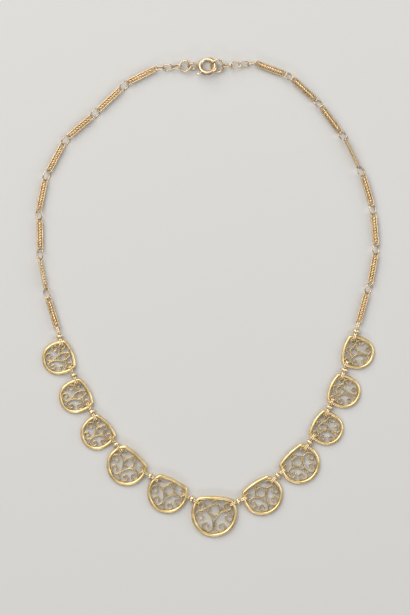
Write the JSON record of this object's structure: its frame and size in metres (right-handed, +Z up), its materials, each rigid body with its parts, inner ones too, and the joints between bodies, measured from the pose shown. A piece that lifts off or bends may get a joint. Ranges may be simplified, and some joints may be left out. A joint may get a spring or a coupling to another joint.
{
  "type": "drapery necklace",
  "caption": "Period drapery necklace: pierced half-moon panels with scroll work, disc connectors and baton chain, closed by a bolt ring.",
  "frame": {"origin": "middle of the necklace's outline, on the surface it lies on", "axes": "+Z up from the surface, +Y from the centre panel to the clasp, +X to the right as seen from above"},
  "size_m": [0.1168, 0.163, 0.0034],
  "materials": {
    "panels": "pale yellow gold, satin polish, brown in the recesses",
    "connectors": "pale yellow gold, bright polish",
    "batons": "pale yellow gold, satin polish, brown between the twists",
    "links": "pale yellow gold, polished wire",
    "bolt_ring": "warm yellow gold, polished tube",
    "trigger": "pale gold, polished"
  },
  "bodies": {
    "necklace": {"panel_centre": "panels", "panel_left_1": "panels", "panel_left_2": "panels", "panel_left_3": "panels", "panel_left_4": "panels", "panel_left_5": "panels", "panel_right_1": "panels", "panel_right_2": "panels", "panel_right_3": "panels", "panel_right_4": "panels", "panel_right_5": "panels", "connector_left_1": "connectors", "connector_left_2": "connectors", "connector_left_3": "connectors", "connector_left_4": "connectors", "connector_left_5": "connectors", "connector_left_6": "connectors", "connector_right_1": "connectors", "connector_right_2": "connectors", "connector_right_3": "connectors", "connector_right_4": "connectors", "connector_right_5": "connectors", "connector_right_6": "connectors", "baton_left_1": "batons", "baton_left_2": "batons", "baton_left_3": "batons", "baton_left_4": "batons", "baton_left_5": "batons", "baton_left_6": "batons", "baton_left_7": "batons", "baton_left_8": "batons", "baton_right_1": "batons", "baton_right_2": "batons", "baton_right_3": "batons", "baton_right_4": "batons", "baton_right_5": "batons", "baton_right_6": "batons", "baton_right_7": "batons", "baton_right_8": "batons", "left_links": "links", "right_links": "links", "left_cable_links": "links", "right_cable_links": "links", "left_jump_ring": "links", "right_jump_ring": "links", "bolt_ring": "bolt_ring"},
    "trigger": {"clasp_trigger": "trigger"}
  },
  "joints": [
    {"name": "trigger_slide", "type": "hinge", "parent": "necklace", "child": "trigger", "pos_m": [0.00003, 0.07841, 0.0017], "axis": [0, 0.3746, 0.9272], "range_deg": [0, 60], "stiffness_Nm_per_rad": 0.00002, "springref_deg": -20.05}
  ]
}
